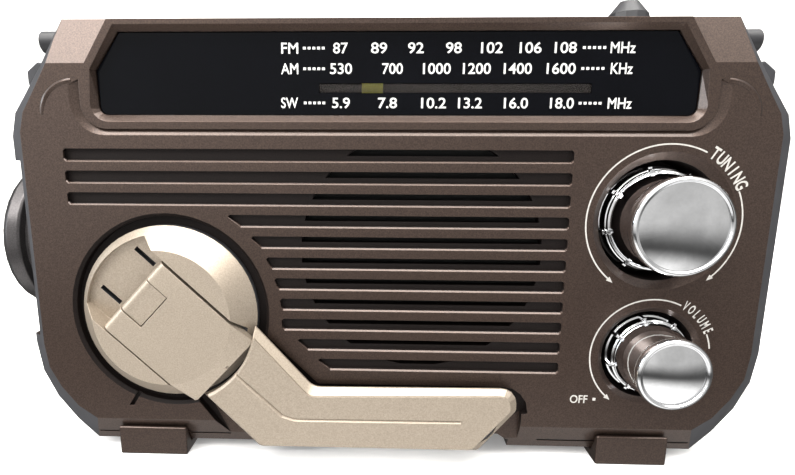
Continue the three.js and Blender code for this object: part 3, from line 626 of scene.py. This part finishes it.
def cap_section(skirt_front, cap, cap_back, cap_front):
    """The neck, rolled rim and dome of a cap, as (y, radius) from the skirt to just short of the axis."""
    section = [
        (skirt_front - 0.15, cap + 0.45),
        ((skirt_front + cap_back) / 2, cap - 0.1),
        (cap_back + 0.2, cap - 0.8),
        (cap_back, cap - 0.4),
        (cap_back - 0.3, cap - 0.05),
    ]
    section += [(cap_front + behind, cap - below) for behind, below in CAP_RIM]
    dome_edge, flat = section[-1]
    for i in range(1, DOME_STEPS):
        share = 1 - i / DOME_STEPS
        section.append((dome_edge - DOME_RISE * (1 - share ** 2), flat * share))
    return section


def knob(name, body, centre, back, skirt, skirt_front, cap, cap_back, cap_front):
    """A plated knob: a skirt of framed panels, a narrower neck, and a domed cap with a rolled rim."""
    rows = [
        (back + (skirt_front - back) * share, [skirt - below for below in levels])
        for share, *levels in SKIRT_STEPS
    ]
    section = cap_section(skirt_front, cap, cap_back, cap_front)
    rows += [(y, (radius, radius, radius)) for y, radius in section]
    spans = skirt_angles()
    verts = []
    for y, radii in rows:
        for angle, level in spans:
            verts.append(round_point(centre, radii[level], math.radians(angle), y))
    count = len(spans)
    faces = grid_faces(len(rows), count, True)
    tip = len(verts)
    dome_edge = cap_front + CAP_RIM[-1][0]
    verts.append(at(centre[0], dome_edge - DOME_RISE, centre[1]))
    verts.append(at(centre[0], back, centre[1]))
    last_row = tip - count
    for i in range(count):
        j = (i + 1) % count
        faces.append([last_row + i, last_row + j, tip])
        faces.append([j, i, tip + 1])
    piece = add_mesh(name + "_shell", verts, faces, CHROME, body, smooth=True)
    bevel_edges(piece, 0.12, 35)
    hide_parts(name)


knob(
    "tuning_knob", "tuning", TUNING,
    back=13.2, skirt=16.0, skirt_front=2.6, cap=13.4, cap_back=-6.6, cap_front=-10.2,
)
knob(
    "volume_knob", "volume", VOLUME,
    back=8.3, skirt=12.3, skirt_front=-1.2, cap=10.1, cap_back=-10.8, cap_front=-13.6,
)

# ---------- raised crease that curves from each end of the dial groove down the shoulder ----------
CREASE_CENTRE = (89.0, 103.6)
CREASE_RADIUS = 9.6
CREASE_HEIGHT = 0.3
CREASE_SWEEP = 88
CREASE_STEPS = 20
CREASE_SUNK = -0.02


def shoulder_crease(name, side):
    """A quarter ring that rises from the groove's end, stays high and fades out down the shoulder."""
    verts = []
    for i in range(CREASE_STEPS + 1):
        t = i / CREASE_STEPS
        angle = math.radians(CREASE_SWEEP - CREASE_SWEEP * t)
        high = CREASE_HEIGHT * min(1.0, 4 * t + 0.35) * min(1.0, 2.2 * (1 - t))
        for outward, lift in ((0.55, CREASE_SUNK), (0, high), (-0.15, high), (-0.9, CREASE_SUNK)):
            r = CREASE_RADIUS + outward
            x = CREASE_CENTRE[0] + r * math.cos(angle)
            z = CREASE_CENTRE[1] + r * math.sin(angle)
            verts.append(at(side * x, -lift, z))
    faces = grid_faces(CREASE_STEPS + 1, 4, True)
    faces.append([0, 1, 2, 3])
    faces.append([4 * CREASE_STEPS + k for k in (3, 2, 1, 0)])
    add_mesh(name, verts, faces, BRONZE, "case")


shoulder_crease("shoulder_crease_left", -1)
shoulder_crease("shoulder_crease_right", 1)

# ---------- loudspeaker cloth behind the grille ----------
CLOTH_RADIUS = 35.4
CLOTH_FRONT = GRILLE_BACK + 0.03
CLOTH_BACK = GRILLE_BACK + 0.33
CLOTH_SIDES = 64


def speaker_cloth():
    """A thin round sheet of cloth."""
    verts = []
    for y in (CLOTH_FRONT, CLOTH_BACK):
        for i in range(CLOTH_SIDES):
            verts.append(round_point(SPEAKER, CLOTH_RADIUS, 2 * math.pi * i / CLOTH_SIDES, y))
    faces = grid_faces(2, CLOTH_SIDES, True)
    faces.append(list(range(CLOTH_SIDES)))
    faces.append(list(range(CLOTH_SIDES, 2 * CLOTH_SIDES)))
    add_mesh("speaker_cloth", verts, faces, CLOTH, "case")


speaker_cloth()

# ---------- floor and backdrop, in metres ----------
FLOOR_REACH = 3.0
FLOOR_FRONT = -1.4
FLOOR_BACK = 0.66
BEND_RADIUS = 0.5
BEND_STEPS = 8
BACKDROP_HEIGHT = 2.5


def make_floor():
    """A pale sheet that lies under the radio and bends up behind it."""
    material, shader = new_material("pale_floor", (0.93, 0.93, 0.93), 0.0, 0.6)
    shader.inputs["Emission Color"].default_value = (1, 1, 1, 1)
    shader.inputs["Emission Strength"].default_value = 0.2
    profile = [(FLOOR_FRONT, 0.0), (FLOOR_BACK, 0.0)]
    for i in range(1, BEND_STEPS + 1):
        angle = math.pi / 2 * i / BEND_STEPS
        profile.append((FLOOR_BACK + BEND_RADIUS * math.sin(angle), BEND_RADIUS * (1 - math.cos(angle))))
    profile.append((FLOOR_BACK + BEND_RADIUS, BACKDROP_HEIGHT))
    verts = []
    for y, z in profile:
        verts += [(-FLOOR_REACH, y, z), (FLOOR_REACH, y, z)]
    mesh = bpy.data.meshes.new("floor")
    mesh.from_pydata(verts, [], grid_faces(len(profile), 2, False))
    mesh.polygons.foreach_set("use_smooth", [True] * len(mesh.polygons))
    mesh.materials.append(material)
    floor = bpy.data.objects.new("floor", mesh)
    bpy.context.scene.collection.objects.link(floor)
    floor.visible_glossy = False


# ---------- light, in metres and watts ----------
# each lamp: its name, place, target, width, height, power and colour
LAMPS = (
    ("key", (-0.62, -0.72, 0.78), (-0.02, 0, 0.09), 0.55, 0.5, 8.5, (1, 0.98, 0.95)),
    ("fill", (0.75, -0.75, 0.75), (0, 0, 0.07), 0.5, 0.5, 0.9, (1, 0.96, 0.9)),
    ("top", (0, -0.2, 1.0), (0, 0, 0.08), 1.4, 0.7, 34, (1, 0.98, 0.94)),
    ("side", (-1.2, -0.32, 0.36), (0.03, 0, 0.08), 0.3, 0.55, 5, (0.86, 0.94, 1)),
)
WORLD_COLOR = (1.0, 0.985, 0.96)
WORLD_LEAST = 0.09


def area_light(name, place, target, width, height, power, color):
    data = bpy.data.lights.new(name, "AREA")
    data.shape = "RECTANGLE"
    data.size = width
    data.size_y = height
    data.energy = power
    data.color = color
    light = bpy.data.objects.new(name, data)
    light.location = place
    light.rotation_euler = (Vector(target) - Vector(place)).to_track_quat("-Z", "Y").to_euler()
    bpy.context.scene.collection.objects.link(light)


def studio_world():
    """Soft room light.

    It is bright overhead. In front there is a room that is brighter on the left, a dark
    band under it, and a bright table below that. Behind on the right there is a weak glow.
    """
    world = bpy.data.worlds.new("studio")
    world.use_nodes = True
    tree = world.node_tree
    place = tree.nodes.new("ShaderNodeTexCoord")
    parts = tree.nodes.new("ShaderNodeSeparateXYZ")
    tree.links.new(place.outputs["Generated"], parts.inputs["Vector"])

    def glow(axis, dark_end, bright_end, strength=1.0):
        node = tree.nodes.new("ShaderNodeMapRange")
        node.interpolation_type = "SMOOTHSTEP"
        node.inputs["From Min"].default_value = dark_end
        node.inputs["From Max"].default_value = bright_end
        node.inputs["To Max"].default_value = strength
        tree.links.new(parts.outputs[axis], node.inputs["Value"])
        return node.outputs["Result"]

    def combine(operation, first, second):
        node = tree.nodes.new("ShaderNodeMath")
        node.operation = operation
        tree.links.new(first, node.inputs[0])
        tree.links.new(second, node.inputs[1])
        return node.outputs["Value"]

    overhead = glow("Z", 0.3, 0.85, 1.1)
    room = combine("MULTIPLY", glow("Z", -0.36, -0.04, 0.5), glow("Y", 0.1, -0.3))
    window_side = combine("MULTIPLY", room, glow("X", 0.4, -0.6))
    table = combine("MULTIPLY", glow("Z", -0.36, -0.62, 1.2), glow("Y", 0.1, -0.3))
    behind = combine("MULTIPLY", glow("Y", 0.2, 0.6, 0.22), glow("X", -0.1, 0.4))
    in_front = combine("ADD", combine("ADD", room, window_side), table)
    light = combine("ADD", combine("ADD", overhead, in_front), behind)
    lifted = tree.nodes.new("ShaderNodeMath")
    lifted.operation = "ADD"
    lifted.inputs[1].default_value = WORLD_LEAST
    tree.links.new(light, lifted.inputs[0])
    background = tree.nodes["Background"]
    background.inputs["Color"].default_value = (*WORLD_COLOR, 1)
    tree.links.new(lifted.outputs["Value"], background.inputs["Strength"])
    bpy.context.scene.world = world


make_floor()
studio_world()
for lamp in LAMPS:
    area_light(*lamp)
bpy.context.scene.view_settings.view_transform = "Standard"

bpy.context.view_layer.update()
